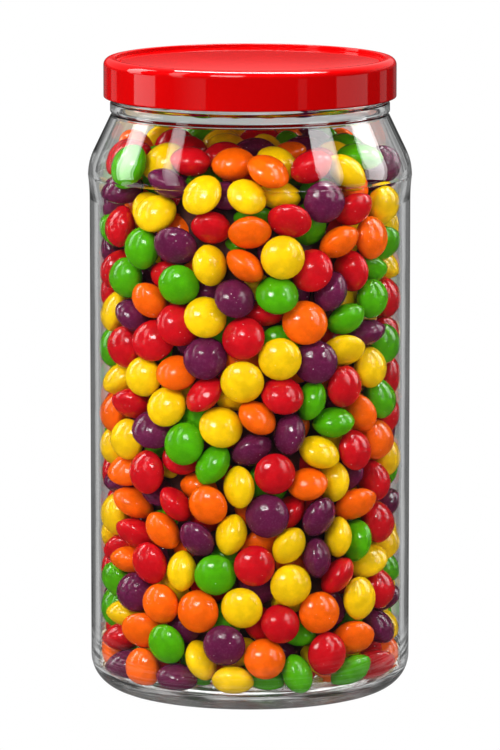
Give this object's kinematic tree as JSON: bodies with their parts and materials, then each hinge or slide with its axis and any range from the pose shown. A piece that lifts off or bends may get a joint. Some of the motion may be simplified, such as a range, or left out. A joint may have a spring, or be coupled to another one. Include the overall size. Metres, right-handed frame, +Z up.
{
  "type": "jar of candy-coated sweets",
  "caption": "Clear round glass jar with sloped shoulder and red screw lid, filled to the neck with mixed red, orange, yellow, green and purple lens-shaped sugar-coated sweets.",
  "frame": {"origin": "middle of the jar's base, on the surface it stands on", "axes": "+Z up along the jar's axis towards the lid, -Y towards the viewer of the picture"},
  "size_m": [0.0988, 0.0988, 0.194],
  "materials": {
    "clear_glass": "clear moulded glass with a polished surface",
    "red_lid": "glossy moulded red plastic",
    "red_coat": "polished sugar shell, red",
    "orange_coat": "polished sugar shell, orange",
    "yellow_coat": "polished sugar shell, yellow",
    "green_coat": "polished sugar shell, green",
    "purple_coat": "polished sugar shell, purple",
    "dark_core": "the shade between the sweets"
  },
  "bodies": {
    "root": {"jar": "clear_glass", "lid": "red_lid", "sweets": "red_coat"}
  },
  "joints": []
}
